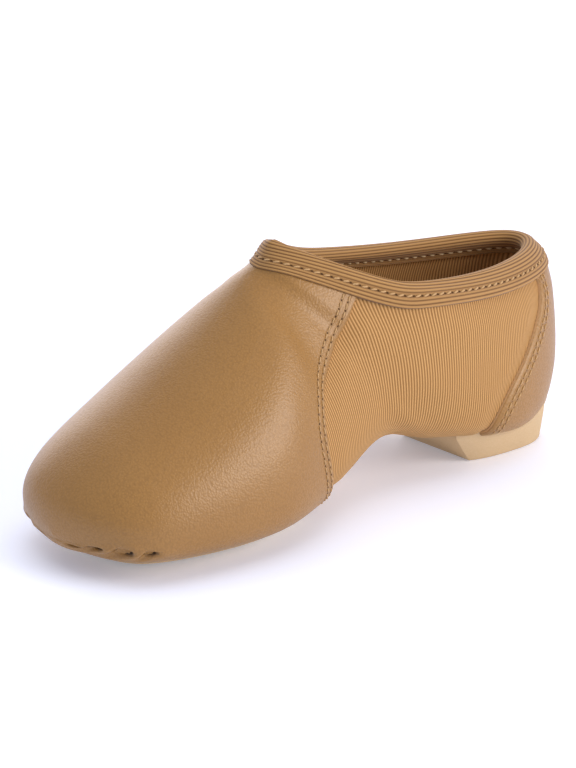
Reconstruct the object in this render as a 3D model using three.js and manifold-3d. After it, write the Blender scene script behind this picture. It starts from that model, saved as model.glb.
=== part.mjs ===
// A jazz shoe for a small child's right foot, standing empty on its split sole.
// X runs from heel to toe, Y towards the wearer's left and Z up. Lengths are in millimetres.
import * as THREE from "three";
import { mergeVertices } from "three/addons/utils/BufferGeometryUtils.js";
import Module from "manifold-3d";

const wasm = await Module();
wasm.setup();

// Overall form, measured over the leather
const SHOE_LENGTH = 154;
const BALL_WIDTH = 58;
const INSTEP_HEIGHT = 65.4;
const BACK_HEIGHT = 49.7;
const HEEL_SEAT_HEIGHT = 6.4;
const TOE_SPRING = 6.2;
const TOPLINE_SAG = 6.6;

// Sheets that the shoe is made from
const LEATHER_THICKNESS = 0.9;
const FABRIC_THICKNESS = 1.3;
const TAPE_THICKNESS = 0.9;
const OUTSOLE_THICKNESS = 1.5;
const INSOLE_THICKNESS = 1.4;
const CLEARANCE = 0.3;
const TAPE_CLEARANCE = 0.5;

// Widths of the worked edges
const BINDING_WIDTH = 7;
const OUTSOLE_INSET = 9.5;
const INSOLE_INSET = 8.5;
const LASTING_MARGIN = 5;
const OUTSOLE_FLAT = 0.2;

// Heel block: its base on the floor, and how far its walls lean out by the height of the seat
const HEEL_BASE_LENGTH = 28.5;
const HEEL_BASE_WIDTH = 27.8;
const HEEL_SETBACK = 4.9;
const HEEL_FLARE = 1.8;
const BREAST_RAKE = 5.4;

// The block's outline is two half ovals, this square. The front one would reach this many times as
// far as the breast, which cuts it off.
const HEEL_SQUARENESS = 2.6;
const UNCUT_REACH = 1.48;

// Depths below the outer form, from the leather's face inwards
const LEATHER_BACK = LEATHER_THICKNESS;
const FABRIC_FACE = LEATHER_BACK + CLEARANCE;
const FABRIC_BACK = FABRIC_FACE + FABRIC_THICKNESS;
const INSOLE_BOTTOM = FABRIC_BACK + CLEARANCE;
const INSOLE_TOP = INSOLE_BOTTOM + INSOLE_THICKNESS;
const OUTSOLE_TOP = -CLEARANCE;
const OUTSOLE_BOTTOM = OUTSOLE_TOP - OUTSOLE_THICKNESS;
const FOREFOOT_LIFT = -OUTSOLE_BOTTOM - OUTSOLE_FLAT;

// How far the folded edge of the tape stands over the middle of the wall
const FOLD_INSIDE = FABRIC_THICKNESS / 2 + TAPE_CLEARANCE;
const FOLD_OUTSIDE = FOLD_INSIDE + TAPE_THICKNESS;
const WALL_MIDDLE = (FABRIC_FACE + FABRIC_BACK) / 2;

// Sections of the last from the toe to the collar, one row each. A section is a closed ring through
// a sole point and a top point. sole_x and top_x are shares of SHOE_LENGTH from the back of the heel.
// The sole point's height adds spring of TOE_SPRING, seat of the heel seat's rise and back of the
// back's rise. top_z is a share of INSTEP_HEIGHT, half and shift of BALL_WIDTH, and sag of
// TOPLINE_SAG. waist says how far up the ring it is widest, low and high how square it is there.
const SECTION_COLUMNS = [
  "sole_x", "spring", "seat", "back", "top_x", "top_z", "shift", "half", "waist", "low", "high", "sag",
];
const SECTIONS = [
  [0.989, 1, 0, 0, 0.998, 0.147, 0, 0, 0.46, 2.3, 2.02, 0],
  [0.965, 0.56, 0, 0, 0.988, 0.287, 0, 0.245, 0.42, 2.4, 2.03, 0],
  [0.923, 0.24, 0, 0, 0.922, 0.434, 0, 0.398, 0.36, 2.8, 1.99, 0],
  [0.832, 0.06, 0, 0, 0.798, 0.6, 0.003, 0.475, 0.33, 3.1, 1.95, 0],
  [0.7, 0, 0, 0, 0.694, 0.751, 0.007, 0.501, 0.32, 3.2, 1.92, 0],
  [0.594, 0, 0.21, 0, 0.642, 0.832, 0.001, 0.453, 0.35, 3.1, 1.92, 0],
  [0.5, 0, 0.86, 0, 0.622, 0.864, -0.012, 0.4, 0.37, 2.7, 1.86, 0],
  [0.399, 0, 1.94, 0, 0.609, 0.885, -0.018, 0.371, 0.39, 2.5, 1.83, 0.04],
  [0.286, 0, 1.33, 0, 0.599, 0.904, -0.013, 0.369, 0.4, 2.8, 1.88, 0.45],
  [0.093, 0, 1, 0, 0.591, 0.922, 0, 0.386, 0.39, 3.2, 2.02, 0.76],
  [0.009, 0, 1, 0.273, 0.584, 0.945, 0.004, 0.384, 0.43, 2.6, 1.88, 0.97],
  [0.004, 0, 1, 0.838, 0.577, 0.971, 0, 0.362, 0.54, 2.3, 1.63, 1.03],
  [0.029, 0, 1, 1, 0.573, 1, 0.001, 0.298, 0.63, 2.2, 1.45, 1],
];

// Where the leather's edges run, seen from the side: share of SHOE_LENGTH, share of INSTEP_HEIGHT
const VAMP_EDGE = [
  [0.455, 0.88], [0.481, 0.805], [0.517, 0.695], [0.55, 0.618], [0.583, 0.52],
  [0.597, 0.414], [0.591, 0.298], [0.574, 0.17], [0.558, 0.06], [0.55, -0.03],
];
const COUNTER_EDGE = [
  [0.106, 0.78], [0.092, 0.69], [0.085, 0.63], [0.092, 0.56], [0.114, 0.495],
  [0.153, 0.397], [0.194, 0.298], [0.218, 0.205], [0.222, 0.13], [0.215, 0.02],
];

// Share of SHOE_LENGTH at which the forefoot outsole and the heel's opening end, and how far the
// outsole's rear edge bows back
const OUTSOLE_REAR = 0.572;
const OUTSOLE_BOW = 8;
const HEEL_OPENING_FRONT = 0.2;

// Rings of the grid, as positions between the rows of SECTIONS, and points around each ring
const GRID_RINGS = [
  0.3, 0.6, 1, 1.4, 1.8, 2.3, 2.8, 3.4, 4, 4.6, 5.2, 5.8, 6.4, 7, 7.6, 8.1, 8.5, 8.85, 9.1,
  9.35, 9.6, 9.85, 10.15, 10.5, 10.9, 11.3, 11.65, 12,
];
const RING_POINTS = 36;
const TOPLINE = SECTIONS.length - 1;

// Places on the grid that draw the outline from above
const SIDE_RINGS = [0.5, 1, 1.5, 2, 2.5, 3, 3.5, 4, 4.5, 5, 5.5, 6, 6.5, 7, 7.6, 8.2, 8.7];
const WIDEST_HEEL_RING = 9.8;
const HEEL_TURNS = [1.1, 0.9, 0.7, 0.5, 0.3, 0.1, -0.1, -0.3, -0.5, -0.7, -0.9, -1.1];

const shoeX = (share) => (share - 0.5) * SHOE_LENGTH;

// One row of SECTIONS in millimetres
function sectionInMillimetres(values) {
  const row = Object.fromEntries(SECTION_COLUMNS.map((name, i) => [name, values[i]]));
  return [
    shoeX(row.sole_x),
    FOREFOOT_LIFT + row.spring * TOE_SPRING + row.seat * (HEEL_SEAT_HEIGHT - FOREFOOT_LIFT)
      + row.back * (BACK_HEIGHT - HEEL_SEAT_HEIGHT),
    shoeX(row.top_x),
    row.top_z * INSTEP_HEIGHT,
    row.shift * BALL_WIDTH,
    row.half * BALL_WIDTH,
    row.waist,
    row.low,
    row.high,
    row.sag * TOPLINE_SAG,
  ];
}

// The rows with one more at each end: past the toe the sole and top lines run into each other,
// and past the collar the form goes straight on.
function sectionsWithEnds() {
  const rows = SECTIONS.map(sectionInMillimetres);
  const [soleX, soleZ, topX, topZ, shift, half, ...shape] = rows[1];
  const beforeToe = [topX, topZ, soleX, soleZ, shift, -half, ...shape];
  const last = rows[TOPLINE];
  const pastCollar = last.map((value, i) => 2 * value - rows[TOPLINE - 1][i]);
  return [beforeToe, ...rows, pastCollar];
}
const ENDED_SECTIONS = sectionsWithEnds();

// A smooth curve through the sections, at ring position v
function sectionAt(v) {
  const i = Math.min(Math.max(Math.floor(v), 0), TOPLINE - 1);
  const t = v - i;
  const [p0, p1, p2, p3] = ENDED_SECTIONS.slice(i, i + 4);
  return p1.map((value, k) => {
    const slope = p2[k] - p0[k];
    const bend = 2 * p0[k] - 5 * value + 4 * p2[k] - p3[k];
    const twist = 3 * (value - p2[k]) + p3[k] - p0[k];
    return value + 0.5 * t * (slope + t * (bend + t * twist));
  });
}

// The point of the leather's face at ring position v and angle turn: 0 at the sole, a quarter on
// the wearer's left and a half on top
function facePoint(v, turn) {
  const [soleX, soleZ, topX, topZ, shift, half, waist, low, high, sag] = sectionAt(v);
  const c = Math.cos(turn);
  const s = Math.sin(turn);
  const square = c >= 0 ? low : high;
  const reach = (Math.abs(c) ** square + Math.abs(s) ** square) ** (-1 / square);
  const share = c >= 0 ? waist * (1 - reach * c) : waist - (1 - waist) * reach * c;
  const riseX = topX - soleX;
  const riseZ = topZ - soleZ;
  const drop = (sag * (reach * s) ** 2) / Math.hypot(riseX, riseZ);
  return new THREE.Vector3(
    soleX + riseX * share + drop * riseZ,
    shift + half * reach * s,
    soleZ + riseZ * share - drop * riseX,
  );
}

// The same point of the form that lies depth under the face, above it where negative. The way in is
// square to the face, taken over a patch wide enough to smooth the point of the throat.
const PATCH_RINGS = 0.3;
const PATCH_TURN = Math.PI / 10;

function formPoint(v, turn, depth) {
  const point = facePoint(v, turn);
  if (depth === 0) return point;
  const along = facePoint(v + PATCH_RINGS, turn).sub(facePoint(Math.max(v - PATCH_RINGS, 0), turn));
  const around = facePoint(v, turn + PATCH_TURN).sub(facePoint(v, turn - PATCH_TURN));
  return point.addScaledVector(around.cross(along).normalize(), depth);
}

const turnsOf = (count) => Array.from({ length: count }, (_, k) => (2 * Math.PI * k) / count);
const TURNS = turnsOf(RING_POINTS);

// Distance from a point of the leather's face to the topline
const TOPLINE_POINTS = turnsOf(RING_POINTS * 6).map((turn) => facePoint(TOPLINE, turn));

function belowTopline(v, turn) {
  const point = facePoint(v, turn);
  return Math.min(...TOPLINE_POINTS.map((edge) => edge.distanceTo(point)));
}

// The ring position that lies the given distance below the topline, by halving
const HALVINGS = 18;

function ringBelowTopline(distance, turn) {
  let low = 2;
  let high = TOPLINE;
  for (let i = 0; i < HALVINGS; i++) {
    const middle = (low + high) / 2;
    if (belowTopline(middle, turn) > distance) low = middle;
    else high = middle;
  }
  return (low + high) / 2;
}

// A mesh as a solid, and a solid as a mesh's geometry
function solidFrom(geometry) {
  const bare = geometry.clone();
  bare.deleteAttribute("normal");
  bare.deleteAttribute("uv");
  const merged = mergeVertices(bare, 1e-4);
  return new wasm.Manifold(
    new wasm.Mesh({
      numProp: 3,
      vertProperties: new Float32Array(merged.attributes.position.array),
      triVerts: new Uint32Array(merged.index.array),
    }),
  );
}

function geometryFrom(solid) {
  const mesh = solid.getMesh();
  const positions = new Float32Array(mesh.numVert * 3);
  for (let i = 0; i < mesh.numVert; i++) {
    const start = i * mesh.numProp;
    positions.set(mesh.vertProperties.subarray(start, start + 3), i * 3);
  }
  const geometry = new THREE.BufferGeometry();
  geometry.setAttribute("position", new THREE.BufferAttribute(positions, 3));
  geometry.setIndex(new THREE.BufferAttribute(new Uint32Array(mesh.triVerts), 1));
  return geometry;
}

// A closed solid from rings of points; a ring of one point closes that end
function loft(rings) {
  const points = rings.flat();
  const starts = [];
  rings.reduce((start, ring) => {
    starts.push(start);
    return start + ring.length;
  }, 0);
  const around = Math.max(...rings.map((ring) => ring.length));
  const index = [];
  for (let i = 0; i + 1 < rings.length; i++) {
    for (let k = 0; k < around; k++) {
      const next = (k + 1) % around;
      const here = rings[i].length === 1 ? [0, 0] : [k, next];
      const there = rings[i + 1].length === 1 ? [0, 0] : [k, next];
      const [a, b] = here.map((n) => starts[i] + n);
      const [d, c] = there.map((n) => starts[i + 1] + n);
      if (a !== b) index.push(a, c, b);
      if (c !== d) index.push(a, d, c);
    }
  }
  const geometry = new THREE.BufferGeometry().setFromPoints(points);
  geometry.setIndex(index);
  return solidFrom(geometry);
}

function centreOf(points) {
  return points.reduce((sum, p) => sum.add(p), new THREE.Vector3()).divideScalar(points.length);
}

// The whole form of the last at a depth, closed across the collar. Deep forms start further back,
// where the toe is wider than twice the depth: so many rings for a depth as large as BALL_WIDTH.
const TOE_RINGS_SKIPPED = 14.5;

function lastForm(depth) {
  const rings = GRID_RINGS.filter((v) => v > (depth / BALL_WIDTH) * TOE_RINGS_SKIPPED)
    .map((v) => TURNS.map((turn) => formPoint(v, turn, depth)));
  const tip = centreOf([facePoint(0, 0), facePoint(0, Math.PI)]);
  tip.x -= depth;
  return loft([[tip], ...rings, [centreOf(rings.at(-1))]]);
}

const forms = new Map();
function formAt(depth) {
  if (!forms.has(depth)) forms.set(depth, lastForm(depth));
  return forms.get(depth);
}

const shellBetween = (outer, inner) => formAt(outer).subtract(formAt(inner));

// Everything that lies less than a distance below the topline, to cut the top of a shell away. Its
// underside follows each face of the wall, so a cut edge runs even with the binding's.
function collarPlug(distance) {
  const wellOutside = -2 * FOLD_OUTSIDE;
  const wellInside = FABRIC_BACK + FOLD_OUTSIDE;
  const edge = TURNS.map((turn) => ringBelowTopline(distance, turn));
  const ring = (depth) => TURNS.map((turn, k) => formPoint(edge[k], turn, depth));
  const underside = [wellInside, FABRIC_BACK, LEATHER_BACK, 0, wellOutside].map(ring);
  const lid = TURNS.map((turn) => formPoint(TOPLINE + 0.5, turn, wellOutside));
  const floor = centreOf(underside[0]);
  floor.z -= distance;
  return loft([[floor], ...underside, lid, [centreOf(lid)]]);
}

// A plate upright on Y with the given outline in X and Z, as wide as the shoe and more
function sidePlate(outline) {
  const shape = new THREE.Shape(outline);
  const geometry = new THREE.ExtrudeGeometry(shape, { depth: 2 * BALL_WIDTH, bevelEnabled: false });
  geometry.rotateX(Math.PI / 2);
  geometry.translate(0, BALL_WIDTH, 0);
  return solidFrom(geometry);
}

// A plate flat on Z with the given outline in X and Y
function flatPlate(outline, bottom, top) {
  const shape = new THREE.Shape(outline);
  const geometry = new THREE.ExtrudeGeometry(shape, { depth: top - bottom, bevelEnabled: false });
  geometry.translate(0, 0, bottom);
  return solidFrom(geometry);
}

// The outline between a leather edge and one end of the shoe, seen from the side. A margin moves the
// edge forwards.
function besideEdge(edge, endShare, margin = 0) {
  const points = edge.map(([x, z]) => new THREE.Vector2(shoeX(x) + margin, z * INSTEP_HEIGHT));
  const curve = new THREE.SplineCurve(points).getPoints(24);
  const end = shoeX(endShare);
  const top = curve[0];
  const bottom = curve.at(-1);
  return [...curve, new THREE.Vector2(end, bottom.y), new THREE.Vector2(end, top.y)];
}

// The shoe's outline from above, moved in by an inset: along the widest line of each side, and
// round the back on the heel's widest ring
function planOutline(inset) {
  const quarter = Math.PI / 2;
  const side = (turn) => SIDE_RINGS.map((v) => facePoint(v, turn));
  const back = HEEL_TURNS.map((turn) => facePoint(WIDEST_HEEL_RING, turn));
  const points = [facePoint(0, quarter), ...side(quarter), ...back, ...side(-quarter).reverse()];
  return points.map((point, k) => {
    const before = points.at(k - 1);
    const after = points[(k + 1) % points.length];
    const run = new THREE.Vector2(after.x - before.x, after.y - before.y).normalize();
    return new THREE.Vector2(point.x + inset * -run.y, point.y + inset * run.x);
  });
}

// The highest place of the sole at a depth, so that sheets of the sole stay clear of the ceiling
const HEEL_SEAT_RING = 9;

function soleTop(depth) {
  const heights = GRID_RINGS.filter((v) => v <= HEEL_SEAT_RING).map((v) => formPoint(v, 0, depth).z);
  return Math.max(...heights);
}

const BEHIND_SHARE = -0.2;
const AHEAD_SHARE = 1.2;
const BEHIND_ALL = shoeX(BEHIND_SHARE);
const AHEAD_OF_ALL = shoeX(AHEAD_SHARE);
const UNDER_ALL = -HEEL_SEAT_HEIGHT;

// The outline from a place under the foot forwards, wider than the shoe, its rear edge bowed back
function forwardsFrom(rear) {
  const shape = new THREE.Shape();
  shape.absellipse(rear + OUTSOLE_BOW, 0, OUTSOLE_BOW, BALL_WIDTH / 2, Math.PI / 2, 1.5 * Math.PI);
  shape.lineTo(AHEAD_OF_ALL, -BALL_WIDTH / 2);
  shape.lineTo(AHEAD_OF_ALL, BALL_WIDTH / 2);
  return shape.getPoints(12);
}

function backwardsFrom(front) {
  return [
    new THREE.Vector2(BEHIND_ALL, -BALL_WIDTH),
    new THREE.Vector2(front, -BALL_WIDTH),
    new THREE.Vector2(front, BALL_WIDTH),
    new THREE.Vector2(BEHIND_ALL, BALL_WIDTH),
  ];
}

// The openings under the forefoot and over the heel, which the outsole, heel and insole close
function soleOpenings() {
  const top = Math.max(soleTop(INSOLE_TOP), HEEL_SEAT_HEIGHT + INSOLE_TOP);
  const rear = shoeX(OUTSOLE_REAR) + LASTING_MARGIN;
  const inside = flatPlate(planOutline(OUTSOLE_INSET + LASTING_MARGIN), UNDER_ALL, top);
  const forefoot = flatPlate(forwardsFrom(rear), UNDER_ALL, top);
  const heelSeat = flatPlate(backwardsFrom(shoeX(HEEL_OPENING_FRONT)), UNDER_ALL, top);
  return inside.intersect(forefoot.add(heelSeat));
}

const OPENINGS = soleOpenings();
const BELOW_BINDING = collarPlug(BINDING_WIDTH + CLEARANCE);

function upper() {
  return shellBetween(FABRIC_FACE, FABRIC_BACK).subtract(collarPlug(FOLD_OUTSIDE)).subtract(OPENINGS);
}

// An overlay of leather on one side of its edge, clear of the binding
function leatherBeside(edge, endShare) {
  return shellBetween(0, LEATHER_BACK)
    .intersect(sidePlate(besideEdge(edge, endShare)))
    .subtract(BELOW_BINDING)
    .subtract(OPENINGS);
}

const vamp = () => leatherBeside(VAMP_EDGE, AHEAD_SHARE);
const heelCounter = () => leatherBeside(COUNTER_EDGE, BEHIND_SHARE);

// The tape's section: down the outside, over the fold and down the inside, as distances below the
// topline and depths, then back along the side that faces the wall
function bindingSection() {
  const legs = [1, 0.62, 0.28].map((share) => FOLD_OUTSIDE + share * (BINDING_WIDTH - FOLD_OUTSIDE));
  const foldAngles = [0, 0.33, 0.67, 1].map((share) => share * Math.PI);
  const face = (radius) => [
    ...legs.map((distance) => [distance, WALL_MIDDLE - radius]),
    ...foldAngles.map((angle) => [
      FOLD_OUTSIDE - radius * Math.sin(angle),
      WALL_MIDDLE - radius * Math.cos(angle),
    ]),
    ...legs.toReversed().map((distance) => [distance, WALL_MIDDLE + radius]),
  ];
  return [...face(FOLD_OUTSIDE), ...face(FOLD_INSIDE).reverse()];
}

function collarBinding() {
  const section = bindingSection();
  const distances = [...new Set(section.map(([distance]) => distance))];
  const columns = TURNS.map((turn) => {
    const ringOf = new Map(distances.map((d) => [d, d > 0 ? ringBelowTopline(d, turn) : TOPLINE]));
    return section.map(([distance, depth]) => formPoint(ringOf.get(distance), turn, depth));
  });
  const points = columns.flat();
  const count = section.length;
  const index = [];
  for (let i = 0; i < RING_POINTS; i++) {
    for (let k = 0; k < count; k++) {
      const a = i * count + k;
      const b = i * count + ((k + 1) % count);
      const d = ((i + 1) % RING_POINTS) * count + k;
      const c = ((i + 1) % RING_POINTS) * count + ((k + 1) % count);
      index.push(a, b, c, a, c, d);
    }
  }
  const geometry = new THREE.BufferGeometry().setFromPoints(points);
  geometry.setIndex(index);
  return solidFrom(geometry);
}

function forefootOutsole() {
  const top = soleTop(0);
  const patch = flatPlate(planOutline(OUTSOLE_INSET), 0, top)
    .intersect(flatPlate(forwardsFrom(shoeX(OUTSOLE_REAR)), 0, top));
  return shellBetween(OUTSOLE_BOTTOM, OUTSOLE_TOP).intersect(patch);
}

function insole() {
  const sheet = flatPlate(planOutline(INSOLE_INSET), UNDER_ALL, soleTop(INSOLE_TOP) + INSOLE_THICKNESS);
  return shellBetween(INSOLE_BOTTOM, INSOLE_TOP).intersect(sheet);
}

// The block's outline at a height: round at the back, cut straight at the breast
function heelOutline(height) {
  const lean = height / HEEL_SEAT_HEIGHT;
  const half = HEEL_BASE_WIDTH / 2 + HEEL_FLARE * lean;
  const back = shoeX(0) + HEEL_SETBACK;
  const breast = back + HEEL_BASE_LENGTH + BREAST_RAKE * lean;
  const rear = HEEL_BASE_LENGTH / 2 + HEEL_FLARE * lean;
  const centre = back + rear;
  const front = (breast - centre) * UNCUT_REACH;
  const points = [];
  const steps = 26;
  const breastTurn = Math.acos(UNCUT_REACH ** (-HEEL_SQUARENESS / 2));
  for (let k = 0; k <= steps; k++) {
    const turn = breastTurn + ((2 * Math.PI - 2 * breastTurn) * k) / steps;
    const c = Math.cos(turn);
    const s = Math.sin(turn);
    const length = c >= 0 ? front : rear;
    points.push(new THREE.Vector3(
      centre + length * Math.sign(c) * Math.abs(c) ** (2 / HEEL_SQUARENESS),
      half * Math.sign(s) * Math.abs(s) ** (2 / HEEL_SQUARENESS),
      height,
    ));
  }
  return points;
}

function heel() {
  const top = soleTop(0);
  const base = heelOutline(0);
  const lid = heelOutline(top);
  const block = loft([[centreOf(lid)], lid, base, [centreOf(base)]]);
  const underCounter = sidePlate(besideEdge(COUNTER_EDGE, BEHIND_SHARE, CLEARANCE));
  return block.subtract(formAt(LEATHER_BACK)).subtract(formAt(OUTSOLE_TOP).intersect(underCounter));
}

// Finishes, seen as colour, roughness and metalness
const FINISHES = {
  stretch_fabric: { color: 0xb98c56, roughness: 0.85, metalness: 0 },
  tan_leather: { color: 0xb58252, roughness: 0.5, metalness: 0 },
  binding_tape: { color: 0xa97b48, roughness: 0.8, metalness: 0 },
  sole_suede: { color: 0xcbb08a, roughness: 0.95, metalness: 0 },
  heel_foam: { color: 0xc9a679, roughness: 0.75, metalness: 0 },
  insole_cloth: { color: 0xa8804f, roughness: 0.9, metalness: 0 },
};

function addPiece(shoe, name, finish, solid) {
  const material = new THREE.MeshStandardMaterial(FINISHES[finish]);
  const mesh = new THREE.Mesh(geometryFrom(solid), material);
  mesh.name = name;
  shoe.add(mesh);
}

const shoe = new THREE.Group();
addPiece(shoe, "upper", "stretch_fabric", upper());
addPiece(shoe, "vamp", "tan_leather", vamp());
addPiece(shoe, "heel_counter", "tan_leather", heelCounter());
addPiece(shoe, "collar_binding", "binding_tape", collarBinding());
addPiece(shoe, "forefoot_outsole", "sole_suede", forefootOutsole());
addPiece(shoe, "heel", "heel_foam", heel());
addPiece(shoe, "insole", "insole_cloth", insole());

export default shoe;
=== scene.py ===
import math

import bpy
import numpy as np
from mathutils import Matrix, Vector


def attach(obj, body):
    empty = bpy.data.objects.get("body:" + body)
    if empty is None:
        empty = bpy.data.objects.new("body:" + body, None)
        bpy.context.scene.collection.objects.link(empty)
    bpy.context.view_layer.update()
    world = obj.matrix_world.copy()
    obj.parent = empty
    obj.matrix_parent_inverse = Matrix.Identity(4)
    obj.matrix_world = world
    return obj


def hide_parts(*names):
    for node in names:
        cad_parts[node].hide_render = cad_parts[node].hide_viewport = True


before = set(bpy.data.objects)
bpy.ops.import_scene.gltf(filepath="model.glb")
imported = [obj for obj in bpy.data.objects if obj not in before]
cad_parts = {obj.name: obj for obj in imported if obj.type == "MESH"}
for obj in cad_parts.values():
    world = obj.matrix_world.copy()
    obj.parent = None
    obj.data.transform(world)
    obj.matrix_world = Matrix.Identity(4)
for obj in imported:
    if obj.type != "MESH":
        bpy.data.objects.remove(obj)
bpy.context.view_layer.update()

# ---------------------------------------------------------------- The last and its sheets

SHOE_LENGTH = 154.0
BALL_WIDTH = 58.0
INSTEP_HEIGHT = 65.4
BACK_HEIGHT = 49.7
HEEL_SEAT_HEIGHT = 6.4
TOE_SPRING = 6.2
TOPLINE_SAG = 6.6

LEATHER_BACK = 0.9
FABRIC_FACE = 1.2
FABRIC_BACK = 2.5
INSOLE_BOTTOM = 2.8
INSOLE_TOP = 4.2
OUTSOLE_TOP = -0.3
OUTSOLE_BOTTOM = -1.8
FOREFOOT_LIFT = 1.6
WALL_MIDDLE = (FABRIC_FACE + FABRIC_BACK) / 2

FOLD_OUTSIDE = 2.05
OUTSOLE_INSET = 9.5
INSOLE_INSET = 8.5

# Sections of the last from the toe to the collar, as in the part: shares of the sizes above
SECTION_COLUMNS = (
    "sole_x", "spring", "seat", "back", "top_x", "top_z", "shift", "half", "waist", "low", "high", "sag",
)
SECTIONS = (
    (0.989, 1, 0, 0, 0.998, 0.147, 0, 0, 0.46, 2.3, 2.02, 0),
    (0.965, 0.56, 0, 0, 0.988, 0.287, 0, 0.245, 0.42, 2.4, 2.03, 0),
    (0.923, 0.24, 0, 0, 0.922, 0.434, 0, 0.398, 0.36, 2.8, 1.99, 0),
    (0.832, 0.06, 0, 0, 0.798, 0.6, 0.003, 0.475, 0.33, 3.1, 1.95, 0),
    (0.7, 0, 0, 0, 0.694, 0.751, 0.007, 0.501, 0.32, 3.2, 1.92, 0),
    (0.594, 0, 0.21, 0, 0.642, 0.832, 0.001, 0.453, 0.35, 3.1, 1.92, 0),
    (0.5, 0, 0.86, 0, 0.622, 0.864, -0.012, 0.4, 0.37, 2.7, 1.86, 0),
    (0.399, 0, 1.94, 0, 0.609, 0.885, -0.018, 0.371, 0.39, 2.5, 1.83, 0.04),
    (0.286, 0, 1.33, 0, 0.599, 0.904, -0.013, 0.369, 0.4, 2.8, 1.88, 0.45),
    (0.093, 0, 1, 0, 0.591, 0.922, 0, 0.386, 0.39, 3.2, 2.02, 0.76),
    (0.009, 0, 1, 0.273, 0.584, 0.945, 0.004, 0.384, 0.43, 2.6, 1.88, 0.97),
    (0.004, 0, 1, 0.838, 0.577, 0.971, 0, 0.362, 0.54, 2.3, 1.63, 1.03),
    (0.029, 0, 1, 1, 0.573, 1, 0.001, 0.298, 0.63, 2.2, 1.45, 1),
)
TOPLINE = len(SECTIONS) - 1

# Where the leather's edges run, seen from the side: shares of SHOE_LENGTH and INSTEP_HEIGHT
VAMP_EDGE = (
    (0.455, 0.88), (0.481, 0.805), (0.517, 0.695), (0.55, 0.618), (0.583, 0.52),
    (0.597, 0.414), (0.591, 0.298), (0.574, 0.17), (0.558, 0.06), (0.55, -0.03),
)
COUNTER_EDGE = (
    (0.106, 0.78), (0.092, 0.69), (0.085, 0.63), (0.092, 0.56), (0.114, 0.495),
    (0.153, 0.397), (0.194, 0.298), (0.218, 0.205), (0.222, 0.13), (0.215, 0.02),
)


def shoe_x(share):
    return (share - 0.5) * SHOE_LENGTH


def section_in_millimetres(values):
    row = dict(zip(SECTION_COLUMNS, values))
    return (
        shoe_x(row["sole_x"]),
        FOREFOOT_LIFT + row["spring"] * TOE_SPRING + row["seat"] * (HEEL_SEAT_HEIGHT - FOREFOOT_LIFT)
        + row["back"] * (BACK_HEIGHT - HEEL_SEAT_HEIGHT),
        shoe_x(row["top_x"]),
        row["top_z"] * INSTEP_HEIGHT,
        row["shift"] * BALL_WIDTH,
        row["half"] * BALL_WIDTH,
        row["waist"],
        row["low"],
        row["high"],
        row["sag"] * TOPLINE_SAG,
    )


def sections_with_ends():
    """The rows with one more at each end: the toe closes on itself, the collar goes straight on."""
    rows = np.array([section_in_millimetres(values) for values in SECTIONS])
    second = rows[1]
    before_toe = np.concatenate([second[[2, 3, 0, 1, 4]], [-second[5]], second[6:]])
    past_collar = 2 * rows[-1] - rows[-2]
    return np.vstack([before_toe, rows, past_collar])


ENDED_SECTIONS = sections_with_ends()


def section_at(v):
    i = np.clip(np.floor(v), 0, TOPLINE - 1).astype(int)
    t = (v - i)[..., None]
    p0, p1, p2, p3 = (ENDED_SECTIONS[i + k] for k in range(4))
    slope = p2 - p0
    bend = 2 * p0 - 5 * p1 + 4 * p2 - p3
    twist = 3 * (p1 - p2) + p3 - p0
    return p1 + 0.5 * t * (slope + t * (bend + t * twist))


def face_point(v, turn):
    """Points of the leather's face: ring position v, and turn 0 at the sole, a quarter on +Y."""
    v, turn = np.broadcast_arrays(np.asarray(v, float), np.asarray(turn, float))
    sole_x, sole_z, top_x, top_z, shift, half, waist, low, high, sag = np.moveaxis(section_at(v), -1, 0)
    c, s = np.cos(turn), np.sin(turn)
    square = np.where(c >= 0, low, high)
    reach = (np.abs(c) ** square + np.abs(s) ** square) ** (-1 / square)
    share = np.where(c >= 0, waist * (1 - reach * c), waist - (1 - waist) * reach * c)
    rise_x, rise_z = top_x - sole_x, top_z - sole_z
    drop = sag * (reach * s) ** 2 / np.hypot(rise_x, rise_z)
    return np.stack([
        sole_x + rise_x * share + drop * rise_z,
        shift + half * reach * s,
        sole_z + rise_z * share - drop * rise_x,
    ], axis=-1)


PATCH_RINGS = 0.3
PATCH_TURN = math.pi / 10


def outward(v, turn):
    """The way out of the face, taken over a patch as in the part."""
    v, turn = np.broadcast_arrays(np.asarray(v, float), np.asarray(turn, float))
    along = face_point(v + PATCH_RINGS, turn) - face_point(np.maximum(v - PATCH_RINGS, 0), turn)
    inner_ring = np.maximum(v, 0.1)
    around = face_point(inner_ring, turn + PATCH_TURN) - face_point(inner_ring, turn - PATCH_TURN)
    way = np.cross(along, around)
    return way / np.linalg.norm(way, axis=-1, keepdims=True)


def form_point(v, turn, depth):
    return face_point(v, turn) - outward(v, turn) * np.asarray(depth, float)[..., None]


def stepped(v, turn, depth, move):
    """Rings and turns after a short move, in millimetres, along the surface at a depth."""
    here = form_point(v, turn, depth)
    by_ring = (form_point(v + 0.01, turn, depth) - here) / 0.01
    by_turn = (form_point(v, turn + 0.01, depth) - here) / 0.01
    rr, rt, tt = ((a * b).sum(axis=1) for a, b in ((by_ring, by_ring), (by_ring, by_turn), (by_turn, by_turn)))
    to_ring, to_turn = (by_ring * move).sum(axis=1), (by_turn * move).sum(axis=1)
    scale = rr * tt - rt * rt
    return v + (to_ring * tt - to_turn * rt) / scale, turn + (to_turn * rr - to_ring * rt) / scale


# ---------------------------------------------------------------- Distances on the face


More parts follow.
